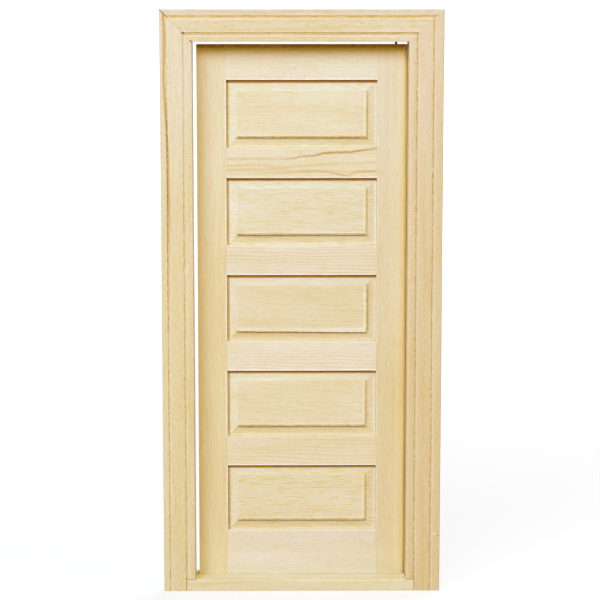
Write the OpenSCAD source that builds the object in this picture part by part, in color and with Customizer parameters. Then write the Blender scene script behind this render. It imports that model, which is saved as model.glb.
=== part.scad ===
// Miniature five-panel door hung in its frame, for a wall opening in a one-twelfth scale house.
// Sizes are in millimetres. The front faces -Y and Z is up. The origin is at floor level, midway
// between the jambs, in the plane of the wall's face, which is also the back of the casing.

/* [Doorway] */
// Clear width between the jambs
opening_w = 73.4; // [64:0.1:90]
// Clear height from the floor to the head jamb
opening_h = 190.7; // [165:0.1:230]
// Thickness of the wall that the jambs line
wall_t = 9.5; // [8:0.1:16]
// Thickness of the jamb boards
jamb_t = 1.6; // [1.2:0.1:2.4]
// How far the head jamb is let into each side jamb
housing_d = 0.8; // [0.4:0.1:1]

/* [Casing] */
// Thickness of the casing
casing_t = 3.2; // [2.4:0.1:5]
// Width of the bead along the opening
bead_w = 2.9; // [2.6:0.1:4]
// Width of the flat between the two grooves
flat_w = 5.6; // [3:0.1:9]
// Width of the outer band on the head and the latch side
band_w = 2.3; // [1.5:0.1:4]
// Extra width of the outer band on the hinge side
band_extra = 1; // [0:0.1:2]
// Height of the bead's crown over its edges
bead_crown = 0.15; // [0.1:0.05:0.6]
// Width of the V grooves between the bands
quirk_w = 0.7; // [0.3:0.05:1]
// Depth of the V grooves
quirk_d = 0.6; // [0.2:0.05:1]
// Rounding of the casing's outer arris
arris_r = 0.4; // [0.1:0.05:0.8]
// Depth of the rebate that takes the jamb's front edge
rebate_d = 0.8; // [0.4:0.1:1.2]
// Open joint left at the mitres
mitre_gap = 0.02; // [0.02:0.02:0.2]

/* [Threshold] */
// Height of the threshold
sill_h = 4.2; // [2.5:0.1:8]
// Rounding of the threshold's front arris
nose_r = 1.2; // [0.3:0.1:1.5]
// Gap between the threshold's ends and the jambs
sill_end_gap = 0.15; // [0.05:0.05:0.3]

/* [Leaf] */
// Thickness of the leaf
leaf_t = 5.6; // [4.8:0.1:6.4]
// Gap beside the latch edge
latch_gap = 1.3; // [0.6:0.1:2.5]
// Gap beside the hinge edge
hinge_gap = 0.25; // [0.2:0.05:1]
// Least gap beside the hinge edge while the leaf turns
swing_room = 0.1; // [0.05:0.01:0.15]
// Gap over the leaf
head_gap = 1.1; // [0.5:0.1:2.5]
// Gap under the leaf
foot_gap = 0.06; // [0.05:0.01:2]
// Width of the two stiles
stile_w = 10.1; // [8:0.1:14]
// Height of the top rail
top_rail_h = 12; // [8:0.1:20]
// Height of each cross rail
cross_rail_h = 10.35; // [7:0.05:14]
// Height of the bottom rail
bottom_rail_h = 15.85; // [9:0.05:30]
// Number of panels
panel_count = 5; // [2:1:6]

/* [Panels and joints] */
// Width of the groove ploughed in the stiles and rails
groove_w = 1.6; // [1:0.1:2]
// Depth of that groove
groove_d = 1.6; // [1:0.1:2.5]
// Clearance on each face of a tongue, a tenon or a horn
joint_fit = 0.05; // [0.02:0.01:0.1]
// Room left beyond the end of a tongue or a tenon
end_room = 0.2; // [0.1:0.05:0.4]
// Clearance round a panel's shoulder
panel_room = 0.04; // [0.04:0.02:0.2]
// Width of the bevel round a panel's field
bevel_w = 3.6; // [2:0.1:5]
// Depth of the bevel's outer edge below the leaf's face
recess_d = 1.4; // [0.9:0.05:1.7]
// Rise of the bevel towards the field
bevel_rise = 0.6; // [0.2:0.05:0.7]
// Depth of the field below the leaf's face
field_drop = 0.1; // [0:0.05:0.15]

/* [Pivot pins] */
// Diameter of the pins
pin_d = 0.8; // [0.6:0.05:1.2]
// Distance of the pins from the hinge edge
pin_inset = 3.7; // [3.3:0.1:5]
// Length of pin inside the leaf
pin_reach = 7; // [4:0.5:8]
// Length of the pins' points
pin_point = 0.9; // [0.5:0.1:1.5]
// Diameter of the pins' heads
pin_head_d = 1.6; // [1.4:0.1:2.2]
// Thickness of the pins' heads
pin_head_t = 0.35; // [0.2:0.05:0.5]
// Radial clearance of the leaf on the pins
pin_play = 0.06; // [0.03:0.01:0.1]
// Radial clearance of the pins in the frame
drive_fit = 0.02; // [0.01:0.01:0.05]

/* [Hidden] */
$fn = 72;
half_w = opening_w / 2;
casing_w = bead_w + flat_w + band_w;
hinge_casing_w = casing_w + band_extra;
total_h = opening_h + casing_w;
jamb_h = opening_h + jamb_t;
bead_chord = bead_w - quirk_w / 2;
bead_r = (pow(bead_chord / 2, 2) + pow(bead_crown, 2)) / (2 * bead_crown);
leaf_y0 = wall_t - leaf_t;
leaf_mid_y = leaf_y0 + leaf_t / 2;
leaf_x0 = -half_w + latch_gap;
leaf_x1 = half_w - hinge_gap;
leaf_z0 = sill_h + foot_gap;
leaf_z1 = opening_h - head_gap;
leaf_h = leaf_z1 - leaf_z0;
panel_x0 = leaf_x0 + stile_w;
panel_w = leaf_x1 - leaf_x0 - 2 * stile_w;
rails_h = top_rail_h + bottom_rail_h + (panel_count - 1) * cross_rail_h;
panel_h = (leaf_h - rails_h) / panel_count;
tenon_l = groove_d - end_room;
tenon_t = groove_w - 2 * joint_fit;
pin_x = leaf_x1 - pin_inset;
heel_r = pin_inset + hinge_gap - swing_room;
far = 400;

function panel_z(i) = leaf_z1 - top_rail_h - i * panel_h - (i - 1) * cross_rail_h;

// Casing moulding in section: X runs from the opening outwards, Y from the wall forwards.
module casing_section(width) {
    difference() {
        square([width, casing_t]);
        translate([-1, -1]) square([jamb_t + 1, rebate_d + 1]);
        for (groove_x = [bead_w, bead_w + flat_w])
            translate([groove_x, casing_t]) v_groove();
        difference() {
            translate([-1, casing_t - bead_crown]) square([bead_chord + 1, bead_crown + 1]);
            translate([bead_chord / 2, casing_t - bead_r]) circle(bead_r);
        }
        translate([width - arris_r, casing_t - arris_r]) difference() {
            square(arris_r + 1);
            circle(arris_r);
        }
    }
}

module v_groove() {
    polygon([
        [-quirk_w / 2, 0],
        [0, -quirk_d],
        [quirk_w / 2, 0],
        [quirk_w / 2, 1],
        [-quirk_w / 2, 1]
    ]);
}

// Keeps what lies inside an outline drawn on the front view.
module front_outline(points) {
    translate([0, far / 2, 0]) rotate([90, 0, 0]) linear_extrude(far) polygon(points);
}

// Outline of a side casing, drawn as if it stood on the right: mitred above, notched over the horn.
function side_outline(width) = [
    [half_w + width, 0],
    [half_w + width, total_h - mitre_gap],
    [half_w, opening_h - mitre_gap],
    [half_w, sill_h],
    [half_w + bead_w, sill_h],
    [half_w + bead_w, 0]
];

module side_casing(width) {
    intersection() {
        translate([half_w, 0, 0]) mirror([0, 1, 0]) linear_extrude(total_h) casing_section(width);
        front_outline(side_outline(width));
    }
}

module left_casing() {
    color("wheat") mirror([1, 0, 0]) side_casing(casing_w);
}

module right_casing() {
    color("wheat") side_casing(hinge_casing_w);
}

module head_casing() {
    left_end = -half_w - casing_w;
    right_end = half_w + hinge_casing_w;
    color("wheat") intersection() {
        translate([left_end, 0, opening_h])
            rotate([0, -90, 180])
            linear_extrude(right_end - left_end) casing_section(casing_w);
        front_outline([
            [-half_w, opening_h],
            [half_w, opening_h],
            [right_end, total_h],
            [left_end, total_h]
        ]);
    }
}

// Side jamb as it stands on the right, rebated at the top for the head jamb.
module side_jamb() {
    difference() {
        translate([half_w, -rebate_d, 0]) cube([jamb_t, wall_t + rebate_d, jamb_h]);
        translate([half_w - 1, -far / 2, opening_h]) cube([housing_d + 1, far, far]);
    }
}

module left_jamb() {
    color("tan") mirror([1, 0, 0]) side_jamb();
}

module right_jamb() {
    color("tan") side_jamb();
}

// Hole for a pin driven from above, with a counterbore that hides its head.
module pin_hole() {
    translate([0, 0, -far]) cylinder(h = far + 1, r = pin_d / 2 + drive_fit);
    translate([0, 0, -pin_head_t - 0.1]) cylinder(h = far, r = pin_head_d / 2 + drive_fit);
}

module head_jamb() {
    length = opening_w + 2 * housing_d;
    color("tan") difference() {
        translate([-length / 2, -rebate_d, opening_h]) cube([length, wall_t + rebate_d, jamb_t]);
        translate([pin_x, leaf_mid_y, jamb_h]) pin_hole();
    }
}

// Threshold in section, drawn with X as depth and Y as height.
module sill_section(back) {
    difference() {
        translate([-casing_t, 0]) square([casing_t + back, sill_h]);
        translate([-casing_t + nose_r, sill_h - nose_r]) difference() {
            translate([-nose_r - 1, 0]) square(nose_r + 1);
            circle(nose_r);
        }
    }
}

module sill_length(reach, back) {
    translate([-reach, 0, 0]) rotate([90, 0, 90]) linear_extrude(2 * reach) sill_section(back);
}

module threshold() {
    color("burlywood") difference() {
        union() {
            sill_length(half_w - sill_end_gap, wall_t);
            sill_length(half_w + bead_w - joint_fit, -rebate_d);
        }
        translate([pin_x, leaf_mid_y, 0]) mirror([0, 0, 1]) pin_hole();
    }
}

// Headed pin hanging from its head, which lies just below the face it was driven into.
module pin(length) {
    shank = length - pin_point;
    translate([0, 0, -0.1]) {
        translate([0, 0, -pin_head_t]) cylinder(h = pin_head_t, r = pin_head_d / 2);
        translate([0, 0, -shank]) cylinder(h = shank - pin_head_t / 2, r = pin_d / 2);
        translate([0, 0, -length]) cylinder(h = pin_point, r1 = pin_d / 8, r2 = pin_d / 2);
    }
}

module top_pin() {
    color("dimgray") translate([pin_x, leaf_mid_y, jamb_h]) pin(jamb_t + head_gap + pin_reach);
}

module bottom_pin() {
    color("dimgray") translate([pin_x, leaf_mid_y, 0])
        mirror([0, 0, 1]) pin(sill_h + foot_gap + pin_reach);
}

// Groove ploughed along the whole inner edge of a stile.
module stile_groove(edge_x, side) {
    translate([side > 0 ? edge_x - 1 : edge_x - groove_d, leaf_mid_y - groove_w / 2, -1])
        cube([groove_d + 1, groove_w, far]);
}

module latch_stile() {
    color("navajowhite") difference() {
        translate([leaf_x0, leaf_y0, leaf_z0]) cube([stile_w, leaf_t, leaf_h]);
        stile_groove(panel_x0, -1);
    }
}

// Hinge stile in plan. Its heel is rounded about the pins, so that it turns past the jamb.
module hinge_stile_plan(inner_x) {
    difference() {
        translate([inner_x, leaf_y0]) square([stile_w, leaf_t]);
        translate([pin_x, leaf_mid_y]) difference() {
            translate([0, -leaf_t / 2 - 0.5]) square([pin_inset + 1, leaf_t + 1]);
            circle(heel_r);
        }
    }
}

module hinge_stile() {
    inner_x = panel_x0 + panel_w;
    color("navajowhite") difference() {
        translate([0, 0, leaf_z0]) linear_extrude(leaf_h) hinge_stile_plan(inner_x);
        stile_groove(inner_x, 1);
        for (end_z = [leaf_z0 - 1, leaf_z1 - pin_reach - end_room])
            translate([pin_x, leaf_mid_y, end_z])
                cylinder(h = pin_reach + end_room + 1, r = pin_d / 2 + pin_play);
    }
}

// Rail with a stub tenon at each end, grooved on the edges that hold a panel.
module rail(z0, height, grooved_below, grooved_above) {
    below = grooved_below ? groove_d : 0;
    above = grooved_above ? groove_d : 0;
    difference() {
        translate([panel_x0, leaf_y0, z0]) cube([panel_w, leaf_t, height]);
        if (grooved_below)
            translate([-far / 2, leaf_mid_y - groove_w / 2, z0 - 1]) cube([far, groove_w, groove_d + 1]);
        if (grooved_above)
            translate([-far / 2, leaf_mid_y - groove_w / 2, z0 + height - groove_d])
                cube([far, groove_w, groove_d + 1]);
    }
    translate([panel_x0 - tenon_l, leaf_mid_y - tenon_t / 2, z0 + below])
        cube([panel_w + 2 * tenon_l, tenon_t, height - below - above]);
}

module top_rail() {
    color("moccasin") rail(leaf_z1 - top_rail_h, top_rail_h, true, false);
}

module bottom_rail() {
    color("moccasin") rail(leaf_z0, bottom_rail_h, false, true);
}

module cross_rail(i) {
    color("moccasin") rail(panel_z(i) - cross_rail_h, cross_rail_h, true, true);
}

// Section of a raised panel: shoulder, bevel and field, the same on both faces.
module panel_section(width) {
    edge = width / 2;
    foot = edge - bevel_w;
    shoulder_y = leaf_t / 2 - recess_d;
    foot_y = shoulder_y + bevel_rise;
    field_y = leaf_t / 2 - field_drop;
    face = [
        [-edge, shoulder_y],
        [-foot, foot_y],
        [-foot, field_y],
        [foot, field_y],
        [foot, foot_y],
        [edge, shoulder_y]
    ];
    polygon(concat(face, [for (k = [len(face) - 1:-1:0]) [face[k].x, -face[k].y]]));
}

// The section run across and along the panel; where both overlap, the bevels meet in mitres.
module panel(i) {
    body_w = panel_w - 2 * panel_room;
    body_h = panel_h - 2 * panel_room;
    tongue_w = panel_w + 2 * tenon_l;
    tongue_h = panel_h + 2 * tenon_l;
    color("cornsilk") translate([panel_x0 + panel_w / 2, leaf_mid_y, panel_z(i) + panel_h / 2]) {
        intersection() {
            translate([0, 0, -body_h / 2]) linear_extrude(body_h) panel_section(body_w);
            translate([-body_w / 2, 0, 0]) rotate([0, 90, 0]) linear_extrude(body_w) panel_section(body_h);
        }
        translate([-tongue_w / 2, -tenon_t / 2, -tongue_h / 2]) cube([tongue_w, tenon_t, tongue_h]);
    }
}

left_jamb();
right_jamb();
head_jamb();
threshold();
left_casing();
right_casing();
head_casing();
top_pin();
bottom_pin();
latch_stile();
hinge_stile();
top_rail();
bottom_rail();
for (i = [1:panel_count - 1])
    cross_rail(i);
for (i = [1:panel_count])
    panel(i);
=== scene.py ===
import math
import random

import bmesh
import bpy
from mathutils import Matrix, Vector


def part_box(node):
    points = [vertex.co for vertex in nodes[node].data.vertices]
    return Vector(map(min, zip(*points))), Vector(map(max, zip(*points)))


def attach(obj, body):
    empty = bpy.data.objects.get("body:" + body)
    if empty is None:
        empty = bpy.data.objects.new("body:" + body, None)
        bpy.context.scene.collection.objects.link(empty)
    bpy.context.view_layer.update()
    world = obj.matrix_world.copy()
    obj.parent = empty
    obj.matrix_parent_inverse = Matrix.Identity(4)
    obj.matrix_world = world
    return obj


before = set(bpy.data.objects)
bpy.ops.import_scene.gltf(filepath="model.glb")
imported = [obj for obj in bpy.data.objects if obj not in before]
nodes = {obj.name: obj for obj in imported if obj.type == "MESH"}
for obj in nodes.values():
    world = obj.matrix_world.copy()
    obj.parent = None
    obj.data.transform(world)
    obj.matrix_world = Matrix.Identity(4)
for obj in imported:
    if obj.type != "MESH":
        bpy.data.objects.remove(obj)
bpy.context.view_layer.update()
scene = bpy.context.scene
MM = 0.001
X, Y, Z = range(3)


# Lowest and highest place of a piece along one axis, in millimetres.
def span(name, axis):
    low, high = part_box(name)
    return low[axis] / MM, high[axis] / MM


# Places on the frame and the leaf that the looks are measured from, in millimetres.
OPENING_LEFT = span("left_casing", X)[1]
OPENING_RIGHT = span("right_casing", X)[0]
OPENING_TOP, CASING_TOP = span("head_casing", Z)
CASING_FRONT = span("head_casing", Y)[0]
SILL_NOSE = span("threshold", Y)[0]
SILL_TOP = span("threshold", Z)[1]
LATCH_EDGE, PANEL_LEFT = span("latch_stile", X)
PANEL_RIGHT, HINGE_EDGE = span("hinge_stile", X)
LEAF_FRONT, LEAF_BACK = span("latch_stile", Y)
LEAF_FOOT, LEAF_TOP = span("latch_stile", Z)
LEAF_MID = (LEAF_FRONT + LEAF_BACK) / 2
LEAF_HALF = LEAF_BACK - LEAF_MID
PANEL_FOOT = span("bottom_rail", Z)[1]
CROSS_LOW, CROSS_HIGH = span("cross_rail_4", Z)
PANEL_H = CROSS_LOW - PANEL_FOOT
PITCH = CROSS_HIGH - PANEL_FOOT
PANEL_COUNT = 5
TORN_PANEL = 3
# The raised fields lie this far in from the rails and stiles, and this far from the leaf's middle.
FIELD_IN = 3.64
FIELD_HALF = span("panel_1", Y)[1] - LEAF_MID
# The middles of the casings' two grooves lie this far out from the opening.
GROOVES = (2.9, 8.5)
LEFT_GROOVES = [OPENING_LEFT - out for out in GROOVES]
RIGHT_GROOVES = [OPENING_RIGHT + out for out in GROOVES]
HEAD_GROOVES = [OPENING_TOP + out for out in GROOVES]


# Foot and head of a panel's opening. The first panel is the uppermost.
def panel_heights(number):
    low = PANEL_FOOT + (PANEL_COUNT - number) * PITCH
    return low, low + PANEL_H


# Colours are written as they should look under plain light.
def srgb(r, g, b):
    out = []
    for c in (r, g, b):
        c = c / 255.0
        out.append(c / 12.92 if c <= 0.04045 else ((c + 0.055) / 1.055) ** 2.4)
    return (out[0], out[1], out[2], 1.0)


PALE = srgb(250, 241, 216)
BRIGHT = srgb(255, 251, 236)
GLUE = srgb(140, 98, 44)


# Short calls for building node trees.
class Tree:
    def __init__(self, owner):
        owner.use_nodes = True
        self.tree = owner.node_tree
        self.tree.nodes.clear()

    def node(self, kind, **values):
        n = self.tree.nodes.new(kind)
        for k, v in values.items():
            setattr(n, k, v)
        return n

    def put(self, socket, value):
        if isinstance(value, bpy.types.NodeSocket):
            self.tree.links.new(value, socket)
        else:
            socket.default_value = value

    def calc(self, operation, *values, clamp=False):
        n = self.node("ShaderNodeMath", operation=operation, use_clamp=clamp)
        for socket, value in zip(n.inputs, values):
            self.put(socket, value)
        return n.outputs[0]

    def product(self, total, *others):
        for other in others:
            total = self.calc("MULTIPLY", total, other)
        return total

    def off(self, value, middle):
        return self.calc("ABSOLUTE", self.calc("SUBTRACT", value, middle))

    def vector(self, operation, *values):
        n = self.node("ShaderNodeVectorMath", operation=operation)
        for socket, value in zip(n.inputs, values):
            self.put(socket, value)
        return n.outputs[0]

    # Place on the object at rest, in millimetres.
    def place(self):
        n = self.node("ShaderNodeVectorMath", operation="SCALE")
        self.put(n.inputs[0], self.node("ShaderNodeTexCoord").outputs["Object"])
        n.inputs["Scale"].default_value = 1 / MM
        return n.outputs[0]

    def split(self, vector):
        n = self.node("ShaderNodeSeparateXYZ")
        self.put(n.inputs[0], vector)
        return n.outputs

    def noise(self, place, stretch, detail=2.0, roughness=0.5):
        n = self.node("ShaderNodeTexNoise")
        self.put(n.inputs["Vector"], self.vector("MULTIPLY", place, stretch))
        n.inputs["Scale"].default_value = 1.0
        n.inputs["Detail"].default_value = detail
        n.inputs["Roughness"].default_value = roughness
        return n.outputs["Fac"]

    def remap(self, value, low, high, to_low=0.0, to_high=1.0, smooth=True):
        n = self.node("ShaderNodeMapRange", clamp=True)
        n.interpolation_type = "SMOOTHSTEP" if smooth else "LINEAR"
        for socket, v in zip(n.inputs, (value, low, high, to_low, to_high)):
            self.put(socket, v)
        return n.outputs[0]

    # 1 near a middle, and 0 from reach away.
    def band(self, value, middle, reach):
        return self.remap(self.off(value, middle), reach, reach * 0.35)

    # A soft noise between least and most.
    def uneven(self, place, stretch, least, most=1.0, low=0.3, high=0.7):
        return self.remap(self.noise(place, stretch), low, high, least, most)

    def ramp(self, value, stops):
        n = self.node("ShaderNodeValToRGB")
        while len(n.color_ramp.elements) < len(stops):
            n.color_ramp.elements.new(0.5)
        for e, (at, colour) in zip(n.color_ramp.elements, stops):
            e.position = at
            e.color = colour
        self.put(n.inputs[0], value)
        return n.outputs[0]

    def mix(self, amount, a, b, kind="MIX"):
        n = self.node("ShaderNodeMix", data_type="RGBA", blend_type=kind)
        self.put(n.inputs[0], amount)
        self.put(n.inputs[6], a)
        self.put(n.inputs[7], b)
        return n.outputs[2]

    def tint(self, colour, amount, factors):
        return self.mix(amount, colour, (*factors, 1.0), "MULTIPLY")

    # 1 for rays that see the background, straight or in gloss and glass, and 0 for light on the object.
    def seen(self):
        path = self.node("ShaderNodeLightPath").outputs
        total = self.calc("ADD", path["Is Camera Ray"], path["Is Glossy Ray"])
        return self.calc("ADD", total, path["Is Transmission Ray"], clamp=True)

    def output(self, shader):
        self.put(self.node("ShaderNodeOutputMaterial").inputs["Surface"], shader)

    # Principled surface with bump; depth is the bump's height in millimetres.
    def surface(self, colour, roughness, height, strength, depth):
        bsdf = self.node("ShaderNodeBsdfPrincipled")
        self.put(bsdf.inputs["Base Color"], colour)
        self.put(bsdf.inputs["Roughness"], roughness)
        bump = self.node("ShaderNodeBump")
        bump.inputs["Strength"].default_value = strength
        bump.inputs["Distance"].default_value = depth * MM
        self.put(bump.inputs["Height"], height)
        self.put(bsdf.inputs["Normal"], bump.outputs[0])
        self.output(bsdf.outputs[0])
        return bsdf


# A tone moved by a few steps of 255 in each channel.
def shade(tone, red, green, blue):
    return srgb(*[max(0, min(255, c + d)) for c, d in zip(tone, (red, green, blue))])


def grain_colours(t, level, tone):
    early, late = shade(tone, 5, 9, 20), shade(tone, -6, -13, -32)
    return t.ramp(level, [(0.0, early), (0.5, shade(tone, 0, 0, 0)), (1.0, late)])


# Place along, across and through the grain. Level grain may slope a little.
def grain_space(t, upright, slope, x, y, z):
    n = t.node("ShaderNodeCombineXYZ")
    ways = (z, x, y) if upright else (x, t.calc("MULTIPLY_ADD", x, slope, z), y)
    for socket, value in zip(n.inputs, ways):
        t.put(socket, value)
    return n.outputs[0]


# Late wood of the rings, which run round a heart that lies off the board and wander along the grain.
def late_wood(t, grain, here, spacing, chance):
    wander = t.calc("MULTIPLY_ADD", t.noise(here, (0.016, 0.07, 0.07)), 6.0, -3.0)
    waver = t.calc("MULTIPLY_ADD", t.noise(here, (0.12, 0.5, 0.5), 1.0), 0.8, -0.4)
    bent = t.calc("ADD", wander, waver)
    heart_across = chance.uniform(6, 26) * chance.choice((-1, 1))
    heart_through = chance.uniform(14, 34)
    across, through = t.split(grain)[1:]
    across = t.calc("ADD", t.calc("SUBTRACT", across, heart_across), bent)
    through = t.calc("ADD", t.calc("SUBTRACT", through, heart_through), bent)
    square = t.calc("ADD", t.product(across, across), t.product(through, through))
    phase = t.calc("FRACT", t.calc("DIVIDE", t.calc("SQRT", square), spacing))
    plain = t.remap(t.noise(here, (0.02, 0.2, 0.2), 1.0), 0.34, 0.62)
    return t.product(t.remap(phase, 0.35, 0.92), t.remap(phase, 1.0, 0.94), plain)


# How fast each layer of the wood changes along, across and through the grain, per millimetre.
BROAD_GRAIN = (0.025, 0.16, 0.16)
FIBRE_GRAIN = (0.22, 3.6, 3.6)
SPECK_GRAIN = (1.3, 2.6, 2.6)
FLECK_ACROSS = 3.2
# A piece with painted shade towards its foot starts to pass to its low tone here.
FADE_FROM = 182.0


# Raw basswood: pale even wood, faint rings, fine fibres, short flecks, little gloss.
# A lower value of flecks gives more of them, and a lower run gives longer ones. From FADE_FROM down to the
# height fade, the tone passes to low: painted shade, darker and yellower towards the foot, for light from
# above.
def basswood(name, upright, tone, seed, rings=0.3, spacing=1.7, fleck=0.45, flecks=0.61, run=0.42,
             specks=0.8, slope=0.0, low=None, fade=25.0, sheen=0.12, marks=()):
    chance = random.Random(seed)
    material = bpy.data.materials.new(name)
    t = Tree(material)
    x, y, z = t.split(t.place())
    grain = grain_space(t, upright, slope, x, y, z)
    here = t.vector("ADD", grain, [chance.uniform(-400, 400) for _ in range(3)])
    late = late_wood(t, grain, here, spacing, chance)
    broad = t.noise(here, BROAD_GRAIN)
    fibre = t.noise(here, FIBRE_GRAIN, 3.0, 0.6)
    speck = t.noise(here, SPECK_GRAIN, 2.0, 0.6)
    dash = t.remap(t.noise(here, (run, FLECK_ACROSS, FLECK_ACROSS), 1.0), flecks, flecks + 0.11)
    level = t.calc("MULTIPLY_ADD", broad, 0.75, 0.125)
    level = t.calc("ADD", level, t.calc("MULTIPLY_ADD", fibre, 1.3, -0.65))
    level = t.calc("ADD", level, t.calc("MULTIPLY_ADD", speck, specks, -specks / 2))
    level = t.calc("MULTIPLY_ADD", late, rings, level, clamp=True)
    colour = grain_colours(t, level, tone)
    if low:
        # Painted shade: the tone passes to the low tone towards the foot.
        down = t.remap(z, FADE_FROM, fade, smooth=False)
        colour = t.mix(down, colour, grain_colours(t, level, low))
    colour = t.mix(t.product(dash, fleck), colour, shade(low or tone, -7, -15, -52))
    for mark in marks:
        colour = mark(t, colour, x, y, z, here)
    rise = t.calc("MULTIPLY_ADD", late, -0.35, fibre)
    rise = t.calc("MULTIPLY_ADD", dash, -0.7, rise)
    roughness = t.calc("MULTIPLY_ADD", fibre, 0.24, 0.62 - sheen * 0.6)
    bsdf = t.surface(colour, roughness, rise, 0.35, 0.05)
    bsdf.inputs["Specular IOR Level"].default_value = sheen
    return material


# Drawn steel wire of the two hinge pins, a little dulled, with fine marks along it.
def steel(name):
    material = bpy.data.materials.new(name)
    t = Tree(material)
    place = t.place()
    drawn = t.noise(place, (9.0, 9.0, 0.5), 3.0)
    dull = t.noise(place, (1.2, 1.2, 1.2), 3.0)
    colour = t.ramp(dull, [(0.3, srgb(52, 48, 45)), (0.55, srgb(78, 74, 70)), (0.8, srgb(60, 48, 40))])
    bsdf = t.surface(colour, t.calc("MULTIPLY_ADD", drawn, 0.3, 0.4), drawn, 0.3, 0.02)
    bsdf.inputs["Metallic"].default_value = 1.0
    return material


# A line along a course of points: place along, place across, and strength.
def course(t, along, across, points, width):
    first, last = points[0][0], points[-1][0]
    low = min(p[1] for p in points) - 1.0
    high = max(p[1] for p in points) + 1.0
    part = t.remap(along, first, last, smooth=False)
    stops = []
    for a, c, strength in points:
        stops.append(((a - first) / (last - first), ((c - low) / (high - low), strength, 0.0, 1.0)))
    n = t.node("ShaderNodeSeparateColor")
    t.put(n.inputs[0], t.ramp(part, stops))
    middle = t.calc("MULTIPLY_ADD", n.outputs[0], high - low, low)
    return t.product(t.remap(t.off(across, middle), width, width * 0.2), n.outputs[1])


# Marks on the wood, and painted light and shade. Each takes the colour so far and the place in millimetres,
# and gives a new colour.


# Brown growth lines that rise and fall over the first cross rail.
def growth_lines(t, colour, x, y, z, here):
    waver = t.calc("MULTIPLY_ADD", t.noise(here, (0.5, 0.6, 0.6)), 0.5, -0.25)
    height = t.calc("ADD", z, waver)
    upper = [(-25.3, 150.9, 0.15), (-17.0, 150.7, 0.2), (-6.7, 150.6, 0.25), (-2.3, 150.9, 0.5),
             (1.3, 151.5, 0.6), (4.7, 151.7, 0.7), (8.2, 152.6, 0.85), (12.8, 152.8, 0.8),
             (17.4, 152.9, 0.8), (20.8, 153.6, 0.85), (26.4, 154.2, 0.8)]
    lower = [(-25.3, 145.2, 0.05), (-3.3, 146.0, 0.35), (1.3, 146.3, 0.55), (6.3, 146.3, 0.55),
             (9.6, 146.1, 0.5), (12.5, 145.5, 0.6), (14.8, 144.9, 0.6), (16.5, 144.8, 0.5),
             (18.2, 145.8, 0.4), (20.8, 146.3, 0.6), (26.4, 146.4, 0.65)]
    middle = [(-25.3, 148.2, 0.4), (-15.0, 148.6, 0.3), (-6.0, 147.7, 0.3), (8.0, 148.8, 0.25),
              (26.4, 149.4, 0.3)]
    left = [(-25.3, 146.9, 0.5), (-13.0, 147.0, 0.4), (-7.0, 147.2, 0.4), (-2.0, 146.6, 0.0)]
    gold = srgb(216, 178, 100)
    colour = t.mix(course(t, x, height, middle, 0.75), colour, gold)
    colour = t.mix(course(t, x, height, left, 0.7), colour, gold)
    colour = t.mix(course(t, x, height, upper, 0.6), colour, srgb(192, 148, 62))
    return t.mix(course(t, x, height, lower, 0.62), colour, srgb(208, 166, 84))


# Brown streak that runs down the latch-side casing from its top corner into the outer groove.
def streak(t, colour, x, y, z, here):
    waver = t.calc("MULTIPLY_ADD", t.noise(here, (0.3, 0.4, 0.4)), 0.4, -0.2)
    line = [(90.0, -45.1, 0.0), (118.0, -44.95, 0.45), (135.0, -44.85, 0.9), (153.0, -45.05, 0.9),
            (167.0, -45.6, 0.9), (177.0, -46.2, 0.85), (194.0, -45.95, 0.9), (201.5, -46.2, 1.0)]
    return t.mix(course(t, z, t.calc("ADD", x, waver), line, 0.68), colour, srgb(206, 165, 70))


# Small nick across the outer band of the hinge-side casing, with a lifted edge.
def nick(t, colour, x, y, z, here):
    lifted = [(45.4, 21.0, 0.0), (46.4, 20.6, 0.6), (47.1, 20.3, 0.6), (47.6, 20.1, 0.0)]
    line = [(46.9, 20.3, 0.0), (47.6, 20.0, 0.5), (48.5, 19.6, 0.75)]
    colour = t.mix(course(t, x, z, lifted, 0.3), colour, BRIGHT)
    return t.mix(course(t, x, z, line, 0.26), colour, srgb(165, 124, 70))


# Glue and dust in the latch-side mitre, plain in the outer band, at the inner groove and at the opening.
def mitre_line(t, colour, x, y, z, here):
    out = t.calc("SUBTRACT", z, OPENING_TOP)
    off = t.calc("ABSOLUTE", t.calc("ADD", t.calc("SUBTRACT", x, OPENING_LEFT), out))
    strong = t.remap(out, GROOVES[1] - 0.5, GROOVES[1] + 0.4, 0.1, 0.9)
    colour = t.mix(t.product(t.remap(off, 0.3, 0.1), strong), colour, GLUE)
    spots = t.calc("ADD", t.band(out, GROOVES[0], 0.55), t.band(out, 0.2, 0.5), clamp=True)
    return t.mix(t.product(t.remap(off, 0.6, 0.2), spots, 0.8), colour, GLUE)


# Where the grooves' painted shade fades: the share left in the inner and the outer groove, and over what
# length.
FADED_SHARES = (0.35, 0.0)
FADE_LENGTH = 40.0


# Painted shade and light in the casing's grooves: brightened paint over a groove's own shadow, brown painted
# shade, uneven, on one wall, and a painted highlight on the lip. Places are measured from a groove's middle:
# shaded is (place, reach), lightened and lip are (place, amount). Up to the height faded, the painted shade
# weakens to its faded share.
def groove_shade_and_light(axis, grooves, shaded, lightened, lip, factors, least=0.15, faded=None):
    def mark(t, colour, x, y, z, here):
        value = x if axis == X else z
        rough = t.uneven(here, (0.8, 0.8, 0.8), least, low=0.38, high=0.6)
        front = t.remap(y, CASING_FRONT + 0.9, CASING_FRONT + 0.6)
        for middle, share in zip(grooves, FADED_SHARES):
            shade_mask = t.product(t.band(value, middle + shaded[0], shaded[1]), rough)
            if faded:
                shade_mask = t.product(shade_mask, t.remap(z, faded, faded - FADE_LENGTH, share, 1.0))
            painted_light = t.product(t.band(value, middle + lightened[0], 0.35), lightened[1], front)
            pale = t.product(t.band(value, middle + lip[0], 0.5), lip[1], front)
            # Painted light over the groove's shadow, then brown painted shade, then a painted highlight on
            # the lip.
            colour = t.mix(painted_light, colour, BRIGHT)
            colour = t.tint(colour, t.product(shade_mask, front), factors)
            colour = t.mix(pale, colour, PALE)
        return colour
    return mark
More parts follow.
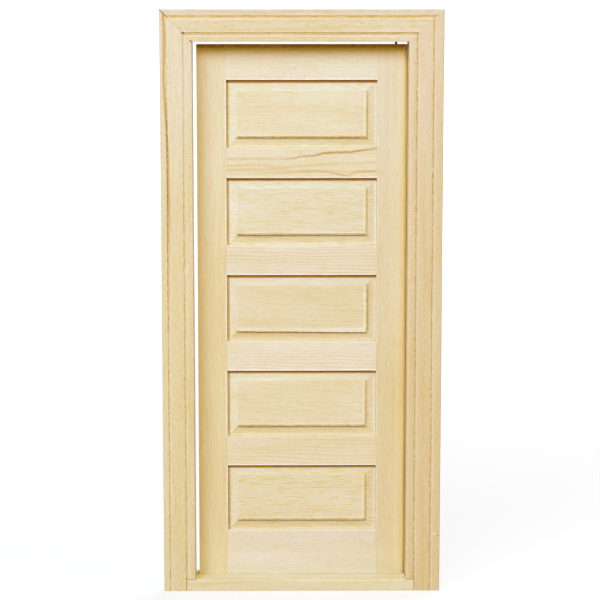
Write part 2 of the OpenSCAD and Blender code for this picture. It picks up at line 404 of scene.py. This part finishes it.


# Paler eased edges of a rail, stile or casing, partly worn wood and partly painted highlight along lit edges
# and over the shade beside them; edges are (axis, place of the edge, how pale).
def worn_and_lit_edges(edges, panels_only=False):
    def mark(t, colour, x, y, z, here):
        total = 0.0
        for axis, place, amount in edges:
            one = t.product(t.band(x if axis == X else z, place, 0.7), amount)
            total = t.calc("MAXIMUM", total, one)
        if panels_only:
            rise = t.calc("MODULO", t.calc("SUBTRACT", z, PANEL_FOOT), PITCH)
            inside = t.product(t.remap(rise, -0.2, 0.3), t.remap(rise, PANEL_H + 0.2, PANEL_H - 0.3))
            total = t.product(total, inside)
        rough = t.uneven(here, (0.4, 0.9, 0.9), 0.5)
        # Worn wood and painted highlight, mixed towards a bright tone.
        return t.mix(t.product(total, rough), colour, BRIGHT)
    return mark


# How far in from the sides of a panel's opening: from above, latch side, hinge side and below.
def insets(t, x, z, low, high):
    return [t.calc("SUBTRACT", high, z), t.calc("SUBTRACT", x, PANEL_LEFT),
            t.calc("SUBTRACT", PANEL_RIGHT, x), t.calc("SUBTRACT", z, low)]


# Painted light and shade on a panel's bevels: tones of the bevels in the order of the insets, painted
# highlight on their lower and hinge-side edges, and painted shade on the shelf above the field.
BEVEL_LIGHT_AND_SHADE = [(0.925, 0.96, 1.06), (1.0, 1.04, 1.18), (0.97, 0.95, 0.94), (0.97, 0.935, 0.835)]
LIT_BELOW = (0.975, 1.055, 1.25)
LIT_HINGE = (1.06, 1.11, 1.24)
SHELF_SHADE = (0.9, 0.9, 0.95)


# 1 on a panel's bevels and 0 on its field.
def on_bevel(t, y):
    return t.remap(t.off(y, LEAF_MID), LEAF_HALF - 0.2, LEAF_HALF - 0.6)


# Painted light and shade on the bevels round a panel's field, each side toned for how the light falls on it,
# with painted highlight along the rail below and the hinge stile.
def lit_and_shaded_bevels(low, high):
    def mark(t, colour, x, y, z, here):
        bevel = on_bevel(t, y)
        sides = insets(t, x, z, low, high)
        above, latch, hinge, below = sides
        nearest = above
        for side in sides[1:]:
            nearest = t.calc("MINIMUM", nearest, side)
        for side, tone in zip(sides, BEVEL_LIGHT_AND_SHADE):
            on = t.product(t.remap(t.calc("SUBTRACT", side, nearest), 0.12, 0.0), bevel)
            colour = t.tint(colour, on, tone)
        colour = t.tint(colour, t.product(t.remap(below, 1.6, 0.3), bevel), LIT_BELOW)
        hinge_highlight = t.product(t.remap(hinge, 1.7, 0.3), bevel, t.remap(below, 0.8, 2.4))
        colour = t.tint(colour, hinge_highlight, LIT_HINGE)
        inside = t.remap(t.calc("MINIMUM", latch, hinge), FIELD_IN - 0.2, FIELD_IN + 0.1)
        return t.tint(colour, t.product(t.band(above, FIELD_IN, 0.3), bevel, inside), SHELF_SHADE)
    return mark


# Painted shade along the field's lower and hinge-side edges, with a painted highlight on the lip beside it.
# Under a torn edge the painted shade is broader and lies on the bevel alone, and the highlight is brighter.
# The painted shade is fainter on the leaf's back.
def shaded_step(low, high, torn_edge):
    reach = 1.3 if torn_edge else 0.7
    painted_light = (1.06, 1.13, 1.26) if torn_edge else (1.04, 1.09, 1.2)
    shade_on_bevel = (0.9, 0.74, 0.24) if torn_edge else (1.08, 0.91, 0.3)
    shade_on_field = (0.74, 0.52, 0.14)

    def mark(t, colour, x, y, z, here):
        bevel = on_bevel(t, y)
        field = t.calc("SUBTRACT", 1.0, bevel)
        above, latch, hinge, below = insets(t, x, z, low, high)
        foot = t.product(t.remap(below, FIELD_IN - reach, FIELD_IN - reach + 0.6),
                         t.remap(below, FIELD_IN + 0.6, FIELD_IN + 0.35),
                         t.remap(latch, 2.6, 3.8),
                         t.remap(hinge, FIELD_IN - 0.5, FIELD_IN))
        side = t.product(t.remap(hinge, FIELD_IN - reach - 0.1, FIELD_IN - reach + 0.45),
                         t.remap(hinge, FIELD_IN + 0.35, FIELD_IN + 0.2),
                         t.remap(below, 2.8, 3.8),
                         t.remap(above, 2.8, 3.8))
        step_shade = t.product(t.calc("MAXIMUM", foot, side), t.uneven(here, (0.5, 0.8, 0.8), 0.6),
                         t.remap(y, LEAF_MID, LEAF_MID + 1.0, 1.0, 0.4))
        # Painted shade on the bevel, painted highlight on the lip, and painted shade on the field's rim.
        colour = t.tint(colour, t.product(step_shade, bevel), shade_on_bevel)
        lip = t.calc("MAXIMUM", t.remap(below, FIELD_IN + 1.4, FIELD_IN + 0.8),
                     t.remap(hinge, FIELD_IN + 1.2, FIELD_IN + 0.6))
        colour = t.tint(colour, t.product(lip, field), painted_light)
        if torn_edge:
            return colour
        return t.tint(colour, t.product(step_shade, field), shade_on_field)
    return mark


# Painted shade in the recess under the rail above and beside the latch stile, where the shadows fall.
def shaded_recess(low, high):
    def mark(t, colour, x, y, z, here):
        bevel = on_bevel(t, y)
        above, latch = insets(t, x, z, low, high)[:2]
        beside = t.product(t.remap(latch, 1.15, 0.6), bevel, t.uneven(here, (0.5, 0.8, 0.8), 0.54, 0.9))
        colour = t.tint(colour, beside, (0.82, 0.58, 0.1))
        return t.tint(colour, t.product(t.remap(above, 1.5, 0.75), bevel), (0.8, 0.46, 0.08))
    return mark


# Painted shade: the undersides of the torn rims along the panels' fields are tinted brown.
def shaded_underside(t, colour, x, y, z, here):
    depth = t.calc("SUBTRACT", FIELD_HALF, t.off(y, LEAF_MID))
    return t.tint(colour, t.remap(depth, 0.06, 0.1), (1.05, 0.88, 0.4))


# 1 on the leaf's front face.
def on_front(t, y):
    return t.remap(y, LEAF_FRONT + 0.7, LEAF_FRONT + 0.1)


# Painted shadow of the head on the leaf's face: painted warm light lower down, yellow painted shade under
# the head, and brown painted shade along the top edge.
def shaded_top(t, colour, x, y, z, here):
    front = on_front(t, y)
    warm = t.product(t.remap(z, LEAF_TOP - 7.5, LEAF_TOP - 3.0), front)
    colour = t.tint(colour, warm, (1.15, 1.05, 1.0))
    yellow = t.product(t.remap(z, LEAF_TOP - 4.8, LEAF_TOP - 1.4), front)
    colour = t.tint(colour, yellow, (1.0, 0.98, 0.4))
    rough = t.uneven(here, (0.5, 0.5, 0.5), 0.75)
    edge = t.product(t.remap(z, LEAF_TOP - 1.45, LEAF_TOP - 0.6), front, rough)
    return t.tint(colour, edge, (0.56, 0.37, 0.14))


# Painted shade on the leaf's face along its latch edge, yellowed where the casing's shadow falls.
def shaded_latch_edge(t, colour, x, y, z, here):
    near = t.product(t.remap(x, LATCH_EDGE + 4.5, LATCH_EDGE), on_front(t, y))
    return t.tint(colour, near, (1.02, 0.94, 0.66))


# Painted light and shade on the hinge stile: it yellows towards its heel, which has a painted highlight in
# front, and painted shade deepens beside the jamb.
def lit_and_shaded_heel(t, colour, x, y, z, here):
    rough = t.uneven(here, (0.1, 0.6, 0.6), 0.85)
    front = t.remap(y, LEAF_MID - 0.7, LEAF_MID - 1.3)
    colour = t.tint(colour, t.remap(x, HINGE_EDGE - 2.8, HINGE_EDGE - 1.0), (0.955, 0.92, 0.76))
    heel_highlight = t.product(t.remap(x, HINGE_EDGE - 1.1, HINGE_EDGE - 0.85), front, rough)
    colour = t.mix(heel_highlight, colour, srgb(255, 245, 200))
    heel_shade = t.product(t.remap(x, HINGE_EDGE - 0.65, HINGE_EDGE - 0.2), front)
    return t.tint(colour, heel_shade, (1.0, 0.9, 0.5))


# Painted shade on the hinge-side jamb's inner face in front of the leaf, warmed yellow.
def shaded_reveal(t, colour, x, y, z, here):
    inner = t.remap(x, OPENING_RIGHT + 0.1, OPENING_RIGHT + 0.05)
    ahead = t.remap(y, LEAF_FRONT + 2.1, LEAF_FRONT + 0.1)
    return t.tint(colour, t.product(ahead, inner), (1.12, 1.06, 0.74))


# Painted shade on the hinge-side casing's inner face, yellowed all along.
def shaded_casing_face(t, colour, x, y, z, here):
    return t.tint(colour, t.remap(x, OPENING_RIGHT + 0.08, OPENING_RIGHT + 0.02), (0.9, 0.84, 0.55))


# Painted light and shade on the threshold: painted shade on its nose, paler painted light on its tread, and
# yellow painted shade in its latch-side corner.
def lit_and_shaded_sill(t, colour, x, y, z, here):
    nose = t.product(t.remap(y, SILL_NOSE + 1.6, SILL_NOSE + 0.9),
                     t.remap(z, SILL_TOP - 1.5, SILL_TOP - 0.7),
                     t.uneven(here, (0.06, 0.4, 0.4), 0.7))
    colour = t.tint(colour, nose, (0.87, 0.86, 0.84))
    tread = t.product(t.remap(y, SILL_NOSE + 1.0, SILL_NOSE + 1.8),
                      t.remap(z, SILL_TOP - 0.5, SILL_TOP - 0.2))
    colour = t.tint(colour, tread, (0.97, 1.01, 1.16))
    corner = t.product(tread, t.remap(x, OPENING_LEFT + 4.2, OPENING_LEFT + 0.9))
    return t.tint(colour, corner, (1.18, 1.03, 0.5))


# The leaf is darker towards its foot.
def darker_foot(t, colour, x, y, z, here):
    return t.tint(colour, t.remap(z, LEAF_FOOT + 7.5, LEAF_FOOT), (0.86, 0.89, 0.9))


# The head casing is bluer along its top two millimetres and darker along its top edge.
def toned_top_edge(t, colour, x, y, z, here):
    colour = t.tint(colour, t.remap(z, CASING_TOP - 2.3, CASING_TOP - 1.9), (0.995, 1.0, 1.07))
    return t.tint(colour, t.remap(z, CASING_TOP - 0.7, CASING_TOP - 0.3), (0.9, 0.88, 0.97))


# Each wooden piece: whether its grain is upright, its tone, the seed of its grain, and what sets it apart.
PIECES = {
    # The left jamb's paler tone is painted light on its shaded inner face, and the right jamb's yellower
    # tone painted shade on its own.
    "left_jamb": (True, (240, 229, 198), 11, dict(sheen=0.6)),
    "right_jamb": (True, (230, 208, 156), 12, {}),
    "head_jamb": (False, (230, 211, 166), 13, {}),
    "threshold": (False, (231, 216, 174), 14, dict(rings=0.25, fleck=0.7, flecks=0.6)),
    "left_casing": (True, (230, 217, 185), 15, dict(rings=0.2, specks=1.3, low=(228, 210, 162), fade=110.0)),
    "right_casing": (True, (226, 207, 171), 16, dict(rings=0.2, specks=1.5, low=(222, 199, 151), fade=70.0)),
    "head_casing": (False, (228, 214, 180), 17, dict(rings=0.5, spacing=2.6, fleck=0.9, flecks=0.56)),
    "latch_stile": (True, (228, 215, 181), 18, dict(rings=0.15, low=(227, 208, 160), fade=95.0)),
    "hinge_stile": (True, (230, 218, 188), 19, dict(rings=0.15, low=(227, 209, 164), fade=70.0)),
    "top_rail": (False, (230, 220, 192), 20, dict(rings=0.15)),
    "cross_rail_1": (False, (232, 219, 186), 21, dict(rings=0.5, spacing=2.2, fleck=0.7, flecks=0.58)),
    "cross_rail_2": (False, (232, 219, 191), 22, dict(rings=0.7, spacing=1.1)),
    "cross_rail_3": (False, (234, 222, 195), 23, dict(rings=0.5, spacing=1.0)),
    "cross_rail_4": (False, (232, 216, 180), 24, dict(rings=0.4, spacing=1.2)),
    "bottom_rail": (False, (229, 215, 185), 25, dict(rings=0.2)),
    "panel_1": (False, (231, 220, 186), 26, dict(rings=0.15, fleck=0.7, flecks=0.58, run=0.26, slope=0.03)),
    "panel_2": (False, (231, 220, 189), 27, dict(rings=0.15, fleck=0.95, flecks=0.55, run=0.19, slope=0.04)),
    "panel_3": (False, (229, 214, 176), 28, dict(rings=0.15, fleck=0.5, flecks=0.58, run=0.3, slope=0.01)),
    "panel_4": (False, (231, 217, 179), 29, dict(rings=0.2, spacing=1.5, fleck=0.6, flecks=0.58, run=0.26)),
    "panel_5": (False, (230, 215, 176), 30, dict(rings=0.2, spacing=1.2, fleck=0.9, flecks=0.555, run=0.17)),
}

# Painted shade and light in the grooves of the side casings and of the head casing.
SIDE_GROOVE_SHADE = (0.93, 0.76, 0.27)
HEAD_GROOVE_SHADE = (0.86, 0.72, 0.38)
left_groove_shade = groove_shade_and_light(X, LEFT_GROOVES, shaded=(-0.2, 0.4), lightened=(-0.2, 0.45), lip=(0.35, 0.25),
                               factors=SIDE_GROOVE_SHADE, faded=165.0)
right_groove_shade = groove_shade_and_light(X, RIGHT_GROOVES, shaded=(-0.2, 0.45), lightened=(-0.2, 0.35), lip=(0.35, 0.25),
                                factors=SIDE_GROOVE_SHADE)
head_groove_shade = groove_shade_and_light(Z, HEAD_GROOVES, shaded=(-0.2, 0.52), lightened=(0.17, 0.95), lip=(-0.8, 0.3),
                               factors=HEAD_GROOVE_SHADE, least=0.6)

# What marks, painted light and painted shade each piece takes, in the order that they are laid.
MARKS = {
    "right_jamb": [shaded_reveal],
    "left_casing": [left_groove_shade, streak, mitre_line],
    "right_casing": [right_groove_shade, nick, worn_and_lit_edges([(X, OPENING_RIGHT + 0.3, 0.15)]), shaded_casing_face],
    "head_casing": [head_groove_shade, mitre_line, toned_top_edge],
    "cross_rail_1": [growth_lines],
    "latch_stile": [worn_and_lit_edges([(X, PANEL_LEFT, 0.65)], True), shaded_latch_edge, shaded_top, darker_foot],
    "hinge_stile": [worn_and_lit_edges([(X, PANEL_RIGHT, 0.4)], True), shaded_top, lit_and_shaded_heel, darker_foot],
    "bottom_rail": [darker_foot],
    "threshold": [lit_and_shaded_sill],
    "top_rail": [shaded_top],
}
for number in range(1, PANEL_COUNT + 1):
    heights = panel_heights(number)
    MARKS["panel_%d" % number] = [lit_and_shaded_bevels(*heights), shaded_step(*heights, number == TORN_PANEL),
                                  shaded_recess(*heights)]

# How pale the eased lower edge (0) and upper edge (1) of each rail are, in worn wood and painted highlight.
RAIL_EDGES = {"top_rail": [(0, 1.0)], "bottom_rail": [(1, 0.3)]}
for number in range(1, PANEL_COUNT):
    RAIL_EDGES["cross_rail_%d" % number] = [(0, 0.8), (1, 0.3)]
for name, ends in RAIL_EDGES.items():
    MARKS.setdefault(name, []).append(worn_and_lit_edges([(Z, span(name, Z)[end], pale) for end, pale in ends]))

# Worn arrises: width, least angle in degrees, how much paler on panels and elsewhere, and the step in seeds.
ARRIS_WIDTH = 0.05
ARRIS_ANGLE = 32
PANEL_LIFT = 2
OTHER_LIFT = 8
ARRIS_SEED = 100
WELD_GAP = 0.001


# Worn arrises in the second material, with even shading beside them.
def wear_edges(piece):
    weld = piece.modifiers.new("weld", "WELD")
    weld.merge_threshold = WELD_GAP * MM
    edge = piece.modifiers.new("worn arris", "BEVEL")
    edge.width = ARRIS_WIDTH * MM
    edge.segments = 2
    edge.limit_method = "ANGLE"
    edge.angle_limit = math.radians(ARRIS_ANGLE)
    edge.material = 1
    edge.use_clamp_overlap = True
    even = piece.modifiers.new("even", "WEIGHTED_NORMAL")
    even.weight = 100
    even.keep_sharp = True


# The wood of a piece, and a paler plain wood on its arrises.
def dress(name, upright, tone, seed, more):
    wood = basswood("basswood_" + name, upright, tone, seed, marks=MARKS.get(name, ()), **more)
    lift = PANEL_LIFT if name.startswith("panel") else OTHER_LIFT
    paler = [min(255, c + lift) for c in tone]
    arris = basswood("arris_" + name, upright, paler, seed + ARRIS_SEED, rings=0.1, fleck=0.2)
    piece = nodes[name]
    piece.data.materials.clear()
    piece.data.materials.append(wood)
    piece.data.materials.append(arris)
    wear_edges(piece)


for name, settings in PIECES.items():
    dress(name, *settings)
for name in ("top_pin", "bottom_pin"):
    nodes[name].data.materials.clear()
    nodes[name].data.materials.append(steel("steel_" + name))

# Steps along a torn rim, how many of them one slow sway takes, the least that the rim stands out, how far in
# it is rooted, and how deep its upper root, its edge and its lower root lie under the face.
RIM_STEP = 0.2
RIM_SWAY = 5
LEAST_RIM = 0.02
RIM_ROOT = 0.06
RIM_DEPTHS = (0.012, 0.05, 0.34)


# Torn fibres and rims that the cutter left, rooted in the wood that they grow from.
class Fibres:
    def __init__(self):
        self.bm = bmesh.new()

    # A thin tapered sliver from its root along way; out is the side that it lifts to.
    def sliver(self, root, way, out, width):
        way, out = Vector(way), Vector(out).normalized()
        side = way.cross(out).normalized()
        root = Vector(root)
        rings = []
        for part, wide, lift in ((0.0, 1.0, 0.0), (0.55, 0.8, 0.12)):
            middle = root + way * part + out * (lift * width)
            half = wide * width / 2
            corners = (side * half, side * -half, out * (-wide * width * 0.6))
            rings.append([self.bm.verts.new((middle + c) * MM) for c in corners])
        tip = self.bm.verts.new((root + way) * MM)
        a, b = rings
        self.bm.faces.new(a)
        for k in range(3):
            n = (k + 1) % 3
            self.bm.faces.new((a[n], a[k], b[k], b[n]))
            self.bm.faces.new((b[n], b[k], tip))

    # A torn strip along an edge, flush with the face and thinning to its broken rim. The rim stands out by
    # first to last along the edge, give or take spread; into is the way into the wood.
    def rim(self, start, end, way, face, into, first, last, spread, chance):
        start, end, way = Vector(start), Vector(end), Vector(way)
        count = int((end - start).length / RIM_STEP)
        coarse = [chance.uniform(-1, 1) for _ in range(count // RIM_SWAY + 3)]
        before = None
        for k in range(count + 1):
            u = k / count
            at = start.lerp(end, u)
            c = k / RIM_SWAY
            sway = coarse[int(c)] * (1 - c % 1) + coarse[int(c) + 1] * (c % 1)
            reach = first + (last - first) * u + spread * (0.6 * sway + chance.uniform(-0.5, 0.5))
            root, edge = at - way * RIM_ROOT, at + way * max(LEAST_RIM, reach)
            row = [self.bm.verts.new(Vector((p.x, face + into * depth, p.y)) * MM)
                   for p, depth in zip((root, edge, root), RIM_DEPTHS)]
            if before:
                for j in range(3):
                    n = (j + 1) % 3
                    self.bm.faces.new((before[j], before[n], row[n], row[j]))
            else:
                self.bm.faces.new(row)
            before = row
        self.bm.faces.new(before)

    def piece(self, name, body, material):
        bmesh.ops.recalc_face_normals(self.bm, faces=self.bm.faces)
        mesh = bpy.data.meshes.new(name)
        self.bm.to_mesh(mesh)
        self.bm.free()
        mesh.materials.append(material)
        o = bpy.data.objects.new(name, mesh)
        scene.collection.objects.link(o)
        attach(o, body)


# Fibres start this far above the floor, stand these steps apart, and take no further step from this near the
# mitre.
FIBRES_FROM = 1.5
FIBRE_STEPS = (0.35, 0.6, 0.9, 1.3, 1.9)
MITRE_CLEAR = 2.52


# Fibres along the two grooves of a side casing, lying over the groove's mouth.
def casing_fibres(name, grooves, seed):
    chance = random.Random(seed)
    made = Fibres()
    for groove, out in zip(grooves, GROOVES):
        z = FIBRES_FROM
        while z < OPENING_TOP + out - MITRE_CLEAR:
            z += chance.choice(FIBRE_STEPS) * chance.uniform(0.7, 1.3)
            lip = chance.choice((-1, 1))
            x = groove + lip * chance.uniform(0.3, 0.42)
            run = chance.uniform(0.25, 0.75)
            way = (-lip * run, chance.uniform(0.02, 0.12), chance.choice((-1, 1)) * chance.uniform(0.2, 0.9))
            width = chance.uniform(0.1, 0.2)
            made.sliver((x, CASING_FRONT + 0.14 * width + 0.01, z), way, (0, -1, 0), width)
    made.piece(name, "frame", torn)


# How far the rims below and beside a field stand out: first, last and spread, on a torn field and elsewhere.
TORN_RIMS = ((0.08, 0.5, 0.14), (0.14, 0.14, 0.16))
PLAIN_RIMS = ((0.06, 0.06, 0.06), (0.05, 0.05, 0.06))


# Ragged rims and fibres along the lower and hinge-side edges of the panels' fields, front (-1) and back (1).
# The torn field's lower edge runs downhill towards the hinge side.
def panel_fibres(name, seed):
    chance = random.Random(seed)
    made = Fibres()
    left, right = PANEL_LEFT + FIELD_IN, PANEL_RIGHT - FIELD_IN
    for number in range(1, PANEL_COUNT + 1):
        low, high = panel_heights(number)
        foot, head = low + FIELD_IN, high - FIELD_IN
        for face, y in zip((-1, 1), span("panel_%d" % number, Y)):
            below, beside = TORN_RIMS if number == TORN_PANEL and face < 0 else PLAIN_RIMS
            made.rim((left, foot), (right, foot), (0, -1), y, -face, *below, chance)
            made.rim((right, foot), (right, head), (1, 0), y, -face, *beside, chance)
            x = left
            while x < right - 1.0:
                x += chance.uniform(0.3, 1.6)
                way = (chance.uniform(0.2, 0.8) * chance.choice((-1, 1)), -face * chance.uniform(0.0, 0.1),
                       -chance.uniform(0.1, 0.26))
                made.sliver((x, y - face * 0.03, foot + 0.05), way, (0, face, 0), chance.uniform(0.08, 0.16))
    made.piece(name, "leaf", torn)


torn = basswood("basswood_torn_fibres", True, (248, 240, 214), 51, rings=0.1, fleck=0.1,
                marks=[shaded_underside])
casing_fibres("left_casing_fibres", LEFT_GROOVES, 61)
casing_fibres("right_casing_fibres", RIGHT_GROOVES, 62)
panel_fibres("panel_fibres", 63)

# Pale paper floor, which fades to white away from the object; lengths of the stage are in metres.
FLOOR_REACH = 60.0
FLOOR_FADE = (0.2, 1.2)
GLOW_NEAR = 0.77
PAPER_SEEN = (0.2, 0.2, 0.2, 1.0)
PAPER_BOUNCE = (0.3, 0.19, 0.07, 1.0)


def floor_material():
    material = bpy.data.materials.new("floor_paper")
    t = Tree(material)
    seen = t.seen()
    far = t.node("ShaderNodeVectorMath", operation="LENGTH")
    t.put(far.inputs[0], t.node("ShaderNodeTexCoord").outputs["Object"])
    strength = t.remap(far.outputs["Value"], *FLOOR_FADE, GLOW_NEAR, 1.0)
    glow = t.node("ShaderNodeEmission")
    t.put(glow.inputs["Strength"], t.product(seen, strength))
    paper = t.node("ShaderNodeBsdfDiffuse")
    t.put(paper.inputs["Color"], t.mix(seen, PAPER_BOUNCE, PAPER_SEEN))
    both = t.node("ShaderNodeAddShader")
    t.put(both.inputs[0], glow.outputs[0])
    t.put(both.inputs[1], paper.outputs[0])
    t.output(both.outputs[0])
    return material


def lay_floor():
    bm = bmesh.new()
    corners = ((-1, -1), (1, -1), (1, 1), (-1, 1))
    bm.faces.new([bm.verts.new((sx * FLOOR_REACH, sy * FLOOR_REACH, 0.0)) for sx, sy in corners])
    mesh = bpy.data.meshes.new("floor")
    bm.to_mesh(mesh)
    bm.free()
    mesh.materials.append(floor_material())
    floor = bpy.data.objects.new("floor", mesh)
    scene.collection.objects.link(floor)


# Soft lamps round the object: name, azimuth, elevation, width, height, power and colour.
LAMPS = [
    ("key", -18, 34, 4.5, 2.1, 232.0, (0.935, 1.035, 1.21)),
    ("fill", 62, 26, 2.4, 2.0, 40.0, (1.0, 0.93, 0.8)),
    ("back", 150, 38, 3.5, 2.5, 185.0, (0.97, 1.0, 1.08)),
]
LAMP_TARGET = Vector((0.0, 0.0, 0.1))
LAMP_DISTANCE = 4.5


def lamp(name, azimuth, elevation, width, height, power, colour):
    a, e = math.radians(azimuth), math.radians(elevation)
    way = Vector((math.sin(a) * math.cos(e), -math.cos(a) * math.cos(e), math.sin(e)))
    data = bpy.data.lights.new(name, "AREA")
    data.shape = "RECTANGLE"
    data.size = width
    data.size_y = height
    data.energy = power
    data.color = colour
    o = bpy.data.objects.new(name, data)
    o.location = LAMP_TARGET + way * LAMP_DISTANCE
    o.rotation_euler = (LAMP_TARGET - o.location).to_track_quat("-Z", "Y").to_euler()
    scene.collection.objects.link(o)


# White background, and a weak warm light on the object.
SKY_SEEN = (1.0, 1.0, 1.0, 1.0)
SKY_LIGHT = (1.0, 0.6, 0.2, 1.0)
SKY_POWER = 0.11


def hang_sky():
    world = bpy.data.worlds.new("studio")
    scene.world = world
    t = Tree(world)
    seen = t.seen()
    sky = t.node("ShaderNodeBackground")
    t.put(sky.inputs["Color"], t.mix(seen, SKY_LIGHT, SKY_SEEN))
    t.put(sky.inputs["Strength"], t.remap(seen, 0.0, 1.0, SKY_POWER, 1.0, smooth=False))
    t.put(t.node("ShaderNodeOutputWorld").inputs["Surface"], sky.outputs[0])


# The photograph's camera: where it stands and looks, in millimetres, and its lens.
CAMERA_AT = Vector((-7.4, -750.9, 214.4))
CAMERA_AIM = Vector((-0.15, -3.2, 102.8))
CAMERA_LENS = 132.4


def place_camera():
    data = bpy.data.cameras.new("camera")
    data.sensor_width = 36.0
    data.lens = CAMERA_LENS
    data.clip_start = 0.05
    data.clip_end = 200.0
    camera = bpy.data.objects.new("camera", data)
    camera.location = CAMERA_AT * MM
    camera.rotation_euler = (CAMERA_AIM - CAMERA_AT).to_track_quat("-Z", "Y").to_euler()
    scene.collection.objects.link(camera)
    scene.camera = camera


lay_floor()
for settings in LAMPS:
    lamp(*settings)
hang_sky()
place_camera()
scene.view_settings.view_transform = "Standard"
